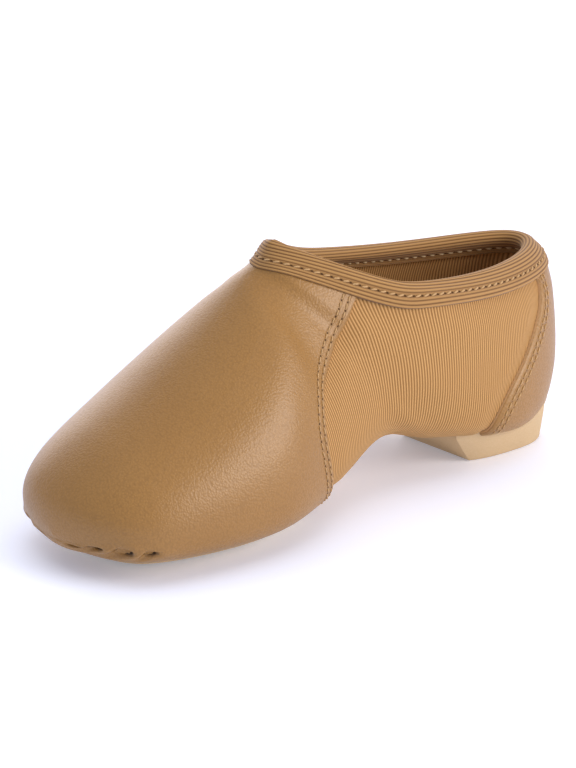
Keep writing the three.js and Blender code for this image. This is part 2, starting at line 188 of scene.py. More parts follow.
def nearest_distance(points, line):
    """Distance from each point to the nearest of a line's points, a slab at a time."""
    flat = points.reshape(-1, 3)
    line_squares = (line ** 2).sum(axis=1)
    nearest = np.empty(len(flat))
    for start in range(0, len(flat), 4000):
        slab = flat[start:start + 4000]
        squares = (slab ** 2).sum(axis=1) + (line_squares - 2 * slab @ line.T).min(axis=1)
        nearest[start:start + 4000] = np.sqrt(np.maximum(squares, 0))
    return nearest.reshape(points.shape[:-1])


TOPLINE_POINTS = face_point(float(TOPLINE), np.linspace(0, 2 * math.pi, 900, endpoint=False))


def rings_below_topline(distances, turns):
    """For each distance under the topline, the ring that lies there on each column."""
    rings = np.linspace(3.0, TOPLINE, 420)
    away = nearest_distance(face_point(rings[:, None], turns), TOPLINE_POINTS)
    return np.stack([np.interp(distances, away[::-1, k], rings[::-1]) for k in range(len(turns))], axis=1)


def ring_below_topline(distance, turns):
    return rings_below_topline([distance], turns)[0]


def edge_x(edge, z):
    """X of a leather edge at a height, on a smooth curve through its points."""
    points = np.array([(shoe_x(x), share * INSTEP_HEIGHT) for x, share in edge])
    ended = np.vstack([points[0], points, points[-1]])
    t = np.linspace(0, 1, 24, endpoint=False)[:, None]
    curve = []
    for i in range(len(points) - 1):
        p0, p1, p2, p3 = ended[i:i + 4]
        curve.append(p1 + 0.5 * t * (p2 - p0 + t * (2 * p0 - 5 * p1 + 4 * p2 - p3
                                                     + t * (3 * (p1 - p2) + p3 - p0))))
    curve = np.vstack(curve + [points[-1:]])[::-1]
    return np.interp(z, curve[:, 1], curve[:, 0])


def last_ring_in_front(edge, turns, low, high):
    """Ring at which each column, going back from the toe, first crosses an edge."""
    share = np.linspace(0, 1, 1200)[:, None]
    v = low + (high - low) * share
    points = face_point(v, turns)
    ahead = points[..., 0] - edge_x(edge, points[..., 2])
    crossed = np.empty(turns.shape)
    for k in range(len(turns)):
        column = ahead[:, k]
        inside = np.nonzero(column <= 0)[0]
        i = inside[0] - 1 if len(inside) else len(column) - 1
        if i < 0 or i >= len(column) - 1:
            crossed[k] = v[max(min(i, len(column) - 1), 0), k]
            continue
        part = column[i] / (column[i] - column[i + 1])
        crossed[k] = v[i, k] + part * (v[i + 1, k] - v[i, k])
    return crossed


def column_runs(turns, low, high, count=500):
    """Ring positions up each column, and the length run to them."""
    share = np.linspace(0, 1, count)[:, None]
    v = low + (high - low) * share
    steps = np.linalg.norm(np.diff(face_point(v, turns), axis=0), axis=2)
    return v, np.vstack([np.zeros(len(turns)), np.cumsum(steps, axis=0)])


def rings_at(v, run, wanted):
    return np.stack([np.interp(wanted[:, k], run[:, k], v[:, k]) for k in range(v.shape[1])], axis=1)


def soft_step(x, low, high):
    t = np.clip((x - low) / (high - low), 0, 1)
    return t * t * (3 - 2 * t)


def bump_of(x, centre, width):
    return np.exp(-((x - centre) / width) ** 2)


# ---------------------------------------------------------------- Meshes


def mesh_piece(name, points, faces, materials, second_from=None):
    """A smooth mesh in metres that rides on the shoe. Faces from second_from on take material 2."""
    mesh = bpy.data.meshes.new(name)
    mesh.from_pydata((np.asarray(points) * 0.001).tolist(), [], [list(map(int, f)) for f in faces])
    for material in materials:
        mesh.materials.append(material)
    mesh.shade_smooth()
    mesh.set_sharp_from_angle(angle=math.radians(48))
    if second_from is not None:
        index = np.zeros(len(mesh.polygons), dtype=np.int32)
        index[second_from:] = 1
        mesh.polygons.foreach_set("material_index", index)
    mesh.update()
    piece = bpy.data.objects.new(name, mesh)
    bpy.context.scene.collection.objects.link(piece)
    return piece


def point_values(piece, name, values):
    attribute = piece.data.attributes.new(name, "FLOAT", "POINT")
    attribute.data.foreach_set("value", np.asarray(values, np.float32).ravel())


def grid_faces(rows, columns, wrap, facing_out, start=0):
    count = columns if wrap else columns - 1
    i, j = np.meshgrid(np.arange(rows - 1), np.arange(count), indexing="ij")
    a = start + i * columns + j
    b = start + i * columns + (j + 1) % columns
    quads = np.stack([a, a + columns, b + columns, b], axis=-1).reshape(-1, 4)
    return quads if facing_out else quads[:, ::-1]


def strip_faces(first, second, wrap):
    """Quads between two rows of vertex numbers."""
    a, d = np.asarray(first), np.asarray(second)
    b, c = np.roll(a, -1), np.roll(d, -1)
    quads = np.stack([a, d, c, b], axis=-1)
    return quads if wrap else quads[:-1]


def shell(name, outer, inner, wrap, materials):
    """A closed sheet from its outer and inner grids (rows, columns, xyz) that share their columns.
    The strips that join them round the edge show the second material."""
    rows, columns = outer.shape[:2]
    inner_rows = inner.shape[0]
    start = rows * columns
    outer_faces = grid_faces(rows, columns, wrap, True)
    inner_faces = grid_faces(inner_rows, columns, wrap, False, start)
    number = np.arange(start).reshape(rows, columns)
    inner_number = start + np.arange(inner_rows * columns).reshape(inner_rows, columns)
    rims = [
        strip_faces(number[-1], inner_number[-1], wrap),
        strip_faces(inner_number[0], number[0], wrap),
    ]
    if not wrap:
        if rows != inner_rows:
            raise ValueError("an open sheet needs as many inner rows as outer ones")
        rims.append(strip_faces(number[:, 0], inner_number[:, 0], False))
        rims.append(strip_faces(inner_number[:, -1], number[:, -1], False))
    faces = np.vstack([outer_faces, inner_faces] + rims)
    points = np.vstack([outer.reshape(-1, 3), inner.reshape(-1, 3)])
    return mesh_piece(name, points, faces, materials, len(outer_faces) + len(inner_faces))


# ---------------------------------------------------------------- Colours and finishes


def hex_colour(code):
    """An sRGB hex value as linear red, green, blue and alpha."""
    parts = [int(code[i:i + 2], 16) / 255 for i in (0, 2, 4)]
    linear = [c / 12.92 if c <= 0.04045 else ((c + 0.055) / 1.055) ** 2.4 for c in parts]
    return (*linear, 1.0)


def add_node(tree, kind, inputs=None, **settings):
    """One node with its settings; an input takes a value or another node's socket."""
    node = tree.nodes.new(kind)
    for name, value in settings.items():
        setattr(node, name, value)
    for socket, value in (inputs or {}).items():
        if isinstance(value, bpy.types.NodeSocket):
            tree.links.new(value, node.inputs[socket])
        else:
            node.inputs[socket].default_value = value
    return node


def new_finish(name):
    material = bpy.data.materials.new(name)
    material.use_nodes = True
    material.node_tree.nodes.clear()
    return material, material.node_tree


def finish_surface(tree, shader_inputs, height=None, strength=0.0, reach_mm=0.0):
    """The surface shader, with a bump whose height of 1 stands reach_mm high."""
    inputs = dict(shader_inputs)
    if height is not None:
        bump = add_node(tree, "ShaderNodeBump",
                        {"Strength": strength, "Distance": reach_mm * 0.001, "Height": height})
        inputs["Normal"] = bump.outputs["Normal"]
    shader = add_node(tree, "ShaderNodeBsdfPrincipled", inputs)
    add_node(tree, "ShaderNodeOutputMaterial", {"Surface": shader.outputs["BSDF"]})
    return shader


def places(tree):
    """Object coordinates, in metres."""
    return add_node(tree, "ShaderNodeTexCoord").outputs["Object"]


GRAIN_MM = 0.5       # one pebble of the grain, drawn a little coarser than the real 0.4 so that it shows
RIB_MM = 0.69        # from rib to rib of the side cloth
TAPE_RIDGE_MM = 0.82  # from ridge to ridge of the binding

STITCH_ROWS = (1.75, 3.45)   # from the cut edge, in millimetres
STITCH_CHANNEL = 0.55        # half the width that a stitch row presses in


def pressed_rows(tree):
    """1 along the two stitch rows, falling to 0 beside them, from each point's distance to the edge."""
    from_seam = add_node(tree, "ShaderNodeAttribute", attribute_name="from_seam")
    middle, half = sum(STITCH_ROWS) / 2, (STITCH_ROWS[1] - STITCH_ROWS[0]) / 2
    off_middle = add_node(tree, "ShaderNodeMath", {0: from_seam.outputs["Fac"], 1: middle}, operation="SUBTRACT")
    fold_over = add_node(tree, "ShaderNodeMath", {0: off_middle.outputs["Value"]}, operation="ABSOLUTE")
    off_row = add_node(tree, "ShaderNodeMath", {0: fold_over.outputs["Value"], 1: half}, operation="SUBTRACT")
    away = add_node(tree, "ShaderNodeMath", {0: off_row.outputs["Value"]}, operation="ABSOLUTE")
    return add_node(tree, "ShaderNodeMapRange",
                    {"Value": away.outputs["Value"], "From Max": STITCH_CHANNEL, "To Min": 1.0, "To Max": 0.0},
                    interpolation_type="SMOOTHSTEP").outputs["Result"]


def soft_leather(name, darker, lighter, painted_fold_shade):
    """Coated leather, embossed with a fine pebble grain: satin, with a broad soft gloss that the tops
    of the pebbles catch. Painted shade darkens it in the gathers' pockets under the toe; it is darker
    also along the pressed stitch rows."""
    material, tree = new_finish(name)
    place = places(tree)
    pebbles = add_node(tree, "ShaderNodeTexVoronoi",
                       {"Vector": place, "Scale": 1000 / GRAIN_MM, "Randomness": 1.0, "Smoothness": 0.6},
                       feature="SMOOTH_F1")
    rows = pressed_rows(tree)
    pebbled = add_node(tree, "ShaderNodeMath", {0: pebbles.outputs["Distance"], 1: -1.0}, operation="MULTIPLY")
    height = add_node(tree, "ShaderNodeMath", {0: rows, 1: -1.5, 2: pebbled.outputs["Value"]},
                      operation="MULTIPLY_ADD")
    clouds = add_node(tree, "ShaderNodeTexNoise", {"Vector": place, "Scale": 55.0, "Detail": 2.0})
    tone = add_node(tree, "ShaderNodeMix",
                    {"Factor": clouds.outputs["Fac"], "A": hex_colour(darker), "B": hex_colour(lighter)},
                    data_type="RGBA")
    pebble_tone = add_node(tree, "ShaderNodeMapRange",
                           {"Value": pebbles.outputs["Distance"], "From Min": 0.15, "From Max": 0.75,
                            "To Min": 0.0, "To Max": 0.32})
    deeper = add_node(tree, "ShaderNodeMath", {0: rows, 1: 0.18, 2: pebble_tone.outputs["Result"]},
                      operation="MULTIPLY_ADD")
    grained = add_node(tree, "ShaderNodeMix",
                       {"Factor": deeper.outputs["Value"], "A": tone.outputs["Result"],
                        "B": hex_colour("7A5628")}, data_type="RGBA")
    # The 'fold' attribute is painted shade: it turns the colour to the dark shade tone in the gathers' pockets.
    fold = add_node(tree, "ShaderNodeAttribute", attribute_name="fold")
    colour = add_node(tree, "ShaderNodeMix",
                      {"Factor": fold.outputs["Fac"], "A": grained.outputs["Result"], "B": hex_colour(painted_fold_shade)},
                      data_type="RGBA")
    rough = add_node(tree, "ShaderNodeMapRange",
                     {"Value": pebbles.outputs["Distance"], "To Min": 0.36, "To Max": 0.52})
    finish_surface(tree, {
        "Base Color": colour.outputs["Result"],
        "Roughness": rough.outputs["Result"],
        "IOR": 1.48,
        "Specular IOR Level": 0.38,
        "Coat Weight": 0.2,
        "Coat Roughness": 0.34,
    }, height.outputs["Value"], 1.0, 0.1)
    return material


def rib_knit(name, valley, ridge):
    """Stretch knit in fine ribs: matte, with painted light along each rib's crown and painted shade beside it."""
    material, tree = new_finish(name)
    place = places(tree)
    cloth = add_node(tree, "ShaderNodeUVMap", uv_map="cloth_mm")
    split = add_node(tree, "ShaderNodeSeparateXYZ", {"Vector": cloth.outputs["UV"]})
    turns = add_node(tree, "ShaderNodeMath", {0: split.outputs["X"], 1: 2 * math.pi / RIB_MM},
                     operation="MULTIPLY")
    wave = add_node(tree, "ShaderNodeMath", {0: turns.outputs["Value"]}, operation="SINE")
    rib = add_node(tree, "ShaderNodeMapRange", {"Value": wave.outputs["Value"], "From Min": -1.0})
    loops = add_node(tree, "ShaderNodeTexNoise", {"Vector": place, "Scale": 3200.0, "Detail": 2.0})
    height = add_node(tree, "ShaderNodeMath",
                      {0: loops.outputs["Fac"], 1: 0.35, 2: rib.outputs["Result"]}, operation="MULTIPLY_ADD")
    # painted light and shade: the ridge tone on each rib's crown, the valley tone beside it
    colour = add_node(tree, "ShaderNodeMix",
                      {"Factor": rib.outputs["Result"], "A": hex_colour(valley), "B": hex_colour(ridge)},
                      data_type="RGBA")
    finish_surface(tree, {
        "Base Color": colour.outputs["Result"],
        "Roughness": 0.78,
        "IOR": 1.45,
        "Specular IOR Level": 0.3,
        "Sheen Weight": 0.25,
        "Sheen Roughness": 0.5,
        "Sheen Tint": hex_colour("F2D2A0"),
    }, height.outputs["Value"], 0.7, 0.12)
    return material


def woven_tape(name, darker, lighter):
    """Ribbed elastic tape: matte cotton over rubber, its ridges modelled and its weave in bump. Its colour runs
    from the darker to the lighter tone by the ridge attribute: painted light on the ridges' crowns, painted shade
    in the valleys, in the stitch row and at the tape's edges.
    """
    material, tree = new_finish(name)
    place = places(tree)
    # the ridge attribute holds painted light and shade across the tape's ridges
    ridge = add_node(tree, "ShaderNodeAttribute", attribute_name="ridge")
    picks = add_node(tree, "ShaderNodeTexNoise", {"Vector": place, "Scale": 2600.0, "Detail": 3.0})
    colour = add_node(tree, "ShaderNodeMix",
                      {"Factor": ridge.outputs["Fac"], "A": hex_colour(darker), "B": hex_colour(lighter)},
                      data_type="RGBA")
    finish_surface(tree, {
        "Base Color": colour.outputs["Result"],
        "Roughness": 0.8,
        "IOR": 1.45,
        "Specular IOR Level": 0.3,
        "Sheen Weight": 0.2,
        "Sheen Roughness": 0.5,
    }, picks.outputs["Fac"], 0.5, 0.08)
    return material


def plain_matte(name, darker, lighter, roughness, grain_mm, reach_mm, sheen=0.0):
    """Suede, foam, thread or cloth: two close tones and a fine random nap."""
    material, tree = new_finish(name)
    place = places(tree)
    nap = add_node(tree, "ShaderNodeTexNoise", {"Vector": place, "Scale": 1000 / grain_mm, "Detail": 4.0})
    colour = add_node(tree, "ShaderNodeMix",
                      {"Factor": nap.outputs["Fac"], "A": hex_colour(darker), "B": hex_colour(lighter)},
                      data_type="RGBA")
    finish_surface(tree, {
        "Base Color": colour.outputs["Result"],
        "Roughness": roughness,
        "IOR": 1.47,
        "Specular IOR Level": 0.3,
        "Sheen Weight": sheen,
        "Sheen Roughness": 0.5,
    }, nap.outputs["Fac"], 0.6, reach_mm)
    return material


# 150C05 is the painted shade in the gathers' pockets under the toe
LEATHER = soft_leather("coated_leather_embossed", "9C7035", "A67A3F", "150C05")
LEATHER_CUT = plain_matte("leather_cut_edge", "C09868", "D0AC7E", 0.85, 0.3, 0.04)
# the knit's two tones are painted shade in the rib valleys and painted light on the rib crowns
RIB_KNIT = rib_knit("rib_knit_stretch", "8A612D", "CC9C62")
# the tape's darker tone is painted shade and its lighter tone is painted light
TAPE = woven_tape("elastic_tape_woven", "613E18", "B2864E")
THREAD = plain_matte("polyester_thread_spun", "AC8350", "CEA873", 0.6, 0.25, 0.03, 0.2)
BOBBIN_THREAD = plain_matte("polyester_thread_pale_spun", "CBA972", "F0DDB4", 0.6, 0.25, 0.03, 0.2)
# painted shadow inside the needle holes
NEEDLE_HOLE_SHADE = plain_matte("needle_hole_shadow", "4A3016", "553A1E", 0.9, 0.3, 0.0)
SUEDE = plain_matte("split_suede_napped", "BC9C6C", "D8BE94", 0.95, 0.35, 0.08, 0.2)
FOAM = plain_matte("rubber_foam_moulded", "C4A77C", "D3B892", 0.8, 0.4, 0.03)
SOCK_CLOTH = plain_matte("sock_lining_brushed", "966F3D", "B08852", 0.92, 0.4, 0.06, 0.2)

# ---------------------------------------------------------------- Creases and gathers

# Soft troughs: side (+1 the wearer's left, 0 both), ends as shares of SHOE_LENGTH and
# INSTEP_HEIGHT seen from the side, then width and depth in millimetres
CREASES = (
    # side, from x, from z, to x, to z, width, depth
    (1, 0.43, 0.42, 0.36, 0.24, 6.0, 0.7),
    (-1, 0.44, 0.42, 0.37, 0.24, 6.0, 0.6),
    (1, 0.71, 0.44, 0.665, 0.36, 1.8, 0.10),
    (1, 0.70, 0.36, 0.655, 0.31, 1.6, 0.10),
    (1, 0.685, 0.49, 0.64, 0.44, 1.8, 0.08),
    (-1, 0.70, 0.40, 0.65, 0.34, 1.8, 0.10),
)


def crease_depth(points):
    """How far the face sinks at each point, for the leather and the cloth under it alike."""
    depth = np.zeros(points.shape[:-1])
    for side, x0, z0, x1, z1, width, deep in CREASES:
        start = np.array([shoe_x(x0), z0 * INSTEP_HEIGHT])
        run = np.array([shoe_x(x1), z1 * INSTEP_HEIGHT]) - start
        place = points[..., [0, 2]] - start
        along = np.clip((place @ run) / (run @ run), 0, 1)
        away = np.linalg.norm(place - along[..., None] * run, axis=-1)
        near = 1.0 if side == 0 else soft_step(points[..., 1] * side, 0.0, 6.0)
        depth = depth + near * deep * np.exp(-(away / width) ** 2)
    return depth


# Gathers where the leather is drawn under the toe: side, ring and turn of each pocket's mouth, its
# half length and half height, and its depth. The last three are in millimetres.
GATHERS = (
    (1, 0.36, 71, 1.3, 0.9, 1.4),
    (1, 0.74, 72, 1.7, 1.0, 1.5),
    (1, 1.33, 69, 2.1, 1.3, 2.0),
    (1, 1.89, 67, 1.2, 0.8, 1.6),
    (-1, 0.45, 66, 1.5, 0.7, 0.6),
    (-1, 1.00, 70, 2.1, 0.9, 1.5),
    (-1, 1.62, 68, 1.7, 0.8, 1.4),
)
RING_MM = 9.0    # along the toe's outline, from ring to ring
TURN_MM = 0.2    # up the toe's side, for each degree of turn


def gather_depth(v, turn):
    """The pockets of the gathers, the puffs between them, and the painted shade that darkens each point. A pocket
    is a slanting slit: a lip over it, its floor rising away below, deepest at its rear end."""
    signed = np.degrees((turn + math.pi) % (2 * math.pi) - math.pi)
    depth = np.zeros(np.broadcast(v, turn).shape)
    shade = np.zeros_like(depth)
    for side, ring, mouth, half_length, half_height, deep in GATHERS:
        back = (v - ring) * RING_MM
        down = (mouth - signed * side) * TURN_MM
        along = (0.86 * back + 0.5 * down) / half_length
        over = (-0.5 * back + 0.86 * down) / (1.35 * half_height)
        steep = np.where(over < 0, np.exp(-(over / 0.7) ** 2), np.exp(-(over / 1.9) ** 2))
        reach = soft_step(along, -1.3, 0.5) * (1 - soft_step(along, 0.75, 1.35))
        puff = np.exp(-((np.abs(back) - 2.6) / 1.5) ** 2) * np.exp(-((down - 0.3) / 2.2) ** 2)
        lip = np.exp(-((over + 1.7) / 0.9) ** 2) * np.exp(-(along / 1.1) ** 2)
        depth = depth + 1.15 * deep * (steep * reach - 0.16 * puff - 0.10 * lip)
        # painted shade in each pocket: dark under its lip and darkest towards its rear end
        dark = reach * np.where(over < 0, np.exp(-(over / 0.55) ** 2), np.exp(-(over / 1.1) ** 2))
        rear = 0.6 + 0.4 * soft_step(along, -0.7, 0.5)
        shade = np.maximum(shade, np.clip(dark * 3.2 - 0.5, 0, 1) * min(1.0, deep / 1.2) * rear)
    return depth, shade


# ---------------------------------------------------------------- Upper

TURNS = np.linspace(0, 2 * math.pi, 300, endpoint=False)


def knit_depth(points):
    """The knit swells between its seams, and lies low under the leather, at the edges and the tape."""
    behind_vamp = edge_x(VAMP_EDGE, points[..., 2]) - points[..., 0]
    ahead_of_counter = points[..., 0] - edge_x(COUNTER_EDGE, points[..., 2])
    from_top = nearest_distance(points, TOPLINE_POINTS)
    counter_side = 3.0 + 4.0 * soft_step(points[..., 2], 8.0, 16.0)
    swell = soft_step(behind_vamp, 0.4, 7.0) * soft_step(ahead_of_counter, 0.4, counter_side)
    return FABRIC_FACE - 0.85 * swell * soft_step(from_top, 6.8, 14.0)


def rib_place(points):
    """Across and along the ribs in millimetres: they hang straight at the back and lean at the front."""
    x, z = points[..., 0], points[..., 2]
    lean = 0.27 * soft_step(x, -40.0, 10.0)
    return x - lean * (z - 20.0), z


def lay_cloth(piece, points):
    across, along = rib_place(points.reshape(-1, 3))
    layer = piece.data.uv_layers.new(name="cloth_mm")
    index = np.empty(len(piece.data.loops), dtype=np.int64)
    piece.data.loops.foreach_get("vertex_index", index)
    layer.data.foreach_set("uv", np.stack([across[index], along[index]], axis=1).ravel())


def make_upper():
    """The sock of rib knit, toe to topline, whose top edge the binding folds over."""
    top = ring_below_topline(FOLD_OUTSIDE, TURNS)
    grids = []
    for depth, first, rows in ((FABRIC_FACE, 0.34, 150), (FABRIC_BACK, 0.64, 100)):
        v, run = column_runs(TURNS, first, top)
        rings = rings_at(v, run, run[-1] * np.linspace(0, 1, rows)[:, None])
        points = face_point(rings, TURNS)
        swollen = knit_depth(points) - FABRIC_FACE
        grids.append(form_point(rings, TURNS, depth + swollen + crease_depth(points)))
    outer, inner = grids
    piece = shell("upper_rib_knit", outer, inner, True, [RIB_KNIT, RIB_KNIT])
    lay_cloth(piece, np.vstack([outer.reshape(-1, 3), inner.reshape(-1, 3)]))
    return piece


# ---------------------------------------------------------------- Leather overlays

STITCH_PITCH = 2.1
SKIVED = 0.42                # how far the leather thins towards its cut edge
UNDER_TAPE = 5.4             # how close to the topline the leather runs


SEAM_CLIMBS_AT = 2.0         # the turn at which the seam starts to run along the columns


def vamp_seam(count=700):
    """The vamp's back edge on the +Y side, from the sole up to the tape: turns and rings."""
    turns = np.linspace(0.0, SEAM_CLIMBS_AT, count)
    rings = last_ring_in_front(VAMP_EDGE, turns, 0.4, np.full(count, 9.0))
    climb = np.linspace(rings[-1], 11.7, count // 2)[1:]
    sweep = np.linspace(SEAM_CLIMBS_AT - 0.2, math.pi * 0.97, 900)
    points = face_point(climb, sweep[:, None])
    ahead = points[..., 0] - edge_x(VAMP_EDGE, points[..., 2])
    crossed = np.array([np.interp(0.0, ahead[max(i - 1, 0):i + 1, k], sweep[max(i - 1, 0):i + 1])
                        for k, i in enumerate(np.argmax(ahead > 0, axis=0))])
    turns, rings = np.concatenate([turns, crossed]), np.concatenate([rings, climb])
    kept = rings < ring_below_topline(3.0, turns) - 1e-3
    return turns[kept], rings[kept]


def vamp_columns(count=360):
    """Rings and turns along each of the vamp's columns, from the toe to its back edge. They lean a
    little, so that they meet the edge at even steps also where it climbs to the tape."""
    seam_turns, seam_rings = vamp_seam()
    tape = ring_below_topline(UNDER_TAPE, TURNS)
    bare = seam_rings < np.interp(seam_turns, TURNS, tape)
    along_tape = np.linspace(seam_turns[bare][-1], math.pi, 400)[1:]
    turns = np.concatenate([seam_turns[bare], along_tape])
    rings = np.concatenate([seam_rings[bare], np.interp(along_tape, TURNS, tape)])
    steps = np.linalg.norm(np.diff(face_point(rings, turns), axis=0), axis=1)
    run = np.concatenate([[0], np.cumsum(steps)])
    place = (run / run[-1] + turns / math.pi) / 2
    even = np.linspace(0, 1, count // 2 + 1)
    end_turn, end_ring = np.interp(even, place, turns), np.interp(even, place, rings)
    share = np.linspace(0, 1, 500)[:, None]
    v = share * end_ring
    turn = math.pi * even + (end_turn - math.pi * even) * soft_step(share, 0.3, 1.0)
    climbing = np.arange(len(seam_turns)) >= np.argmax(seam_turns >= SEAM_CLIMBS_AT)
    in_front = np.interp(v, seam_rings[climbing], seam_turns[climbing], left=0) + 0.06 * (end_ring - v)
    turn = np.where(end_ring > seam_rings[climbing][0], np.maximum(turn, in_front), turn)
    return (np.concatenate([v, v[:, -2:0:-1]], axis=1),
            np.concatenate([turn, 2 * math.pi - turn[:, -2:0:-1]], axis=1))


COUNTER_RINGS = np.linspace(8.0, 12.0, 600)


def counter_reach():
    """How far round from the back each ring stays behind the counter's edge."""
    turns = np.linspace(0, 1.6, 900)
    points = face_point(COUNTER_RINGS[:, None], turns[None])
    ahead = points[..., 0] - edge_x(COUNTER_EDGE, points[..., 2])
    first = np.argmax(ahead > 0, axis=1)
    reach = np.zeros(len(COUNTER_RINGS))
    for k, i in enumerate(first):
        if i > 0:
            reach[k] = turns[i - 1] - ahead[k, i - 1] * (turns[i] - turns[i - 1]) / (ahead[k, i] - ahead[k, i - 1])
    return reach


COUNTER_REACH = counter_reach()
COUNTER_LOWEST = COUNTER_RINGS[np.argmax(COUNTER_REACH > 0.05)]


def reach_at(rings):
    return np.interp(rings, COUNTER_RINGS, COUNTER_REACH)


def both_sides(turns, rings):
    return np.concatenate([turns, -turns]), np.concatenate([rings, rings])


def line_of(turns, rings):
    both_turns, both_rings = both_sides(turns, rings)
    return face_point(both_rings, both_turns)


def leather_sink(points, from_seam):
    """Depth of a leather's face under the last's: thin at the cut edge, and low under the tape."""
    from_top = nearest_distance(points, TOPLINE_POINTS)
    sink = SKIVED * (1 - soft_step(from_seam, 0.0, 1.1)) + 0.22 * (1 - soft_step(from_seam, 0.0, 0.25))
    sink = sink - 0.08 * bump_of(from_seam, sum(STITCH_ROWS) / 2, 0.9)
    beside_tape = 0.42 * (1 - soft_step(from_top, 6.6, 12.5))
    under_tape = 0.44 * (1 - soft_step(from_top, 5.9, 7.0))
    return np.maximum(sink, beside_tape + under_tape) + crease_depth(points)


def edge_rows(length, near, count):
    """Lengths up a column: spread out, then close together before the edge."""
    near = np.asarray(near)[:, None]
    spread = np.linspace(0, 1, count)[:, None] * (length - near[0])
    return np.vstack([spread, length - near[1:]])


NEAR_EDGE = (5.0, 4.6, 4.2, 3.9, 3.6, 3.35, 3.1, 2.8, 2.5, 2.2, 1.95, 1.7, 1.45, 1.15, 0.85, 0.55, 0.3, 0.12, 0.0)


def make_vamp():
    """The leather over toe and forefoot, gathered under the toe and stitched down its back edge."""
    v, turn = vamp_columns()
    line = line_of(*vamp_seam())
    steps = np.linalg.norm(np.diff(face_point(v, turn), axis=0), axis=2)
    run = np.vstack([np.zeros(v.shape[1]), np.cumsum(steps, axis=0)])
    gathered = np.linspace(0, 26, 90)[:, None] * np.minimum(1.0, run[-1] / 60.0)
    rest = edge_rows(run[-1] - gathered[-1], NEAR_EDGE, 62)[1:] + gathered[-1]
    lengths = np.vstack([gathered, rest])
    rings, turns = rings_at(v, run, lengths), rings_at(turn, run, lengths)
    points = face_point(rings, turns)
    gathers, shade = gather_depth(rings, turns)
    from_seam = nearest_distance(points, line)
    outer = form_point(rings, turns, leather_sink(points, from_seam) + gathers)
    lengths = run[-1] * np.linspace(0.02, 1, 60)[:, None]
    rings, turns = rings_at(v, run, lengths), rings_at(turn, run, lengths)
    points = face_point(rings, turns)
    hidden_gathers, _ = gather_depth(rings, turns)
    last = soft_step(nearest_distance(points, line), 0.0, 3.0)
    inner = form_point(rings, turns,
                       1.14 - 0.24 * last + crease_depth(points) + np.minimum(hidden_gathers, 0.2))
    piece = shell("vamp_leather", outer, inner, True, [LEATHER, LEATHER_CUT])
    # the gathers' painted shade goes to the leather's colour through the 'fold' attribute
    point_values(piece, "fold", np.concatenate([shade.ravel(), np.zeros(rings.size)]))
    point_values(piece, "from_seam", np.concatenate([from_seam.ravel(), np.full(rings.size, 20.0)]))
    return piece


def make_heel_counter():
    """The leather crescent behind the heel, under the tape above and the heel block below."""
    seam_rings = np.linspace(COUNTER_LOWEST, 11.9, 700)
    line = line_of(reach_at(seam_rings), seam_rings)
    across = np.concatenate([np.linspace(0, 0.8, 80), 0.8 + 0.2 * np.sin(np.linspace(0, math.pi / 2, 44)[1:])])
    across = np.concatenate([-across[:0:-1], across])
    top = np.full(across.shape, 11.3)
    for _ in range(4):
        top = ring_below_topline(UNDER_TAPE, across * reach_at(top))
    climb = np.linspace(0, 1, 130)[:, None] ** 1.6
    rings_here = COUNTER_LOWEST + climb * (top - COUNTER_LOWEST)
    columns = across * reach_at(rings_here)
    points = face_point(rings_here, columns)
    from_seam = nearest_distance(points, line)
    outer = form_point(rings_here, columns, leather_sink(points, from_seam))
    last = soft_step(from_seam, 0.0, 3.0)
    inner = form_point(rings_here, columns, 1.14 - 0.24 * last + crease_depth(points))
    piece = shell("heel_counter_leather", outer, inner, False, [LEATHER, LEATHER_CUT])
    point_values(piece, "fold", np.zeros(len(piece.data.vertices)))
    point_values(piece, "from_seam", np.concatenate([from_seam.ravel(), np.full(from_seam.size, 20.0)]))
    return piece


# ---------------------------------------------------------------- Stitching


def even_places(line, pitch):
    """Shares of a line's points at even steps of its length."""
    run = np.concatenate([[0], np.cumsum(np.linalg.norm(np.diff(line, axis=0), axis=1))])
    count = int(run[-1] // pitch)
    wanted = (np.arange(count) + 0.5) * run[-1] / count
    return np.interp(wanted, run, np.arange(len(line)))


def take(values, at):
    """Values between the rows of an array."""
    i = np.clip(np.floor(at).astype(int), 0, len(values) - 2)
    t = (at - i)[:, None]
    return values[i] * (1 - t) + values[i + 1] * t


def unit(vectors):
    return vectors / np.linalg.norm(vectors, axis=-1, keepdims=True)


def joined_beads(name, centres, along, out, half_length, half_width, half_height, arch, material):
    """Many small rounded beads as one mesh: each lies along its stitch and arches between its holes."""
    around, rows = 8, 9
    t = np.linspace(-1, 1, rows)
    angle = np.linspace(0, 2 * math.pi, around, endpoint=False)
    taper = np.sqrt(np.clip(1 - np.abs(t) ** 3.2, 0.02, 1))
    side = unit(np.cross(out, along))
    local = np.stack([
        np.repeat(t * half_length, around),
        (taper[:, None] * np.cos(angle) * half_width).ravel(),
        ((taper[:, None] * np.sin(angle)) * half_height + arch * (1 - t[:, None] ** 2)).ravel(),
    ], axis=1)
    points = (centres[:, None] + local[None, :, :1] * along[:, None]
              + local[None, :, 1:2] * side[:, None] + local[None, :, 2:] * out[:, None])
    faces = []
    step = rows * around
    body = grid_faces(rows, around, True, False)
    for k in range(len(centres)):
        faces.extend((body + k * step).tolist())
        faces.append([k * step + j for j in range(around)][::-1])
        faces.append([k * step + (rows - 1) * around + j for j in range(around)])
    piece = mesh_piece(name, points.reshape(-1, 3), faces, [material])
    return piece


SEAM_THREAD = 0.36           # thread and needle hole of the leather seams, across
VAMP_HOLE = 0.44
COUNTER_HOLE = 0.24
SEAM_SLANT = 0.14            # how far each stitch leans, as a share of its length
BESIDE_STEPS = 6


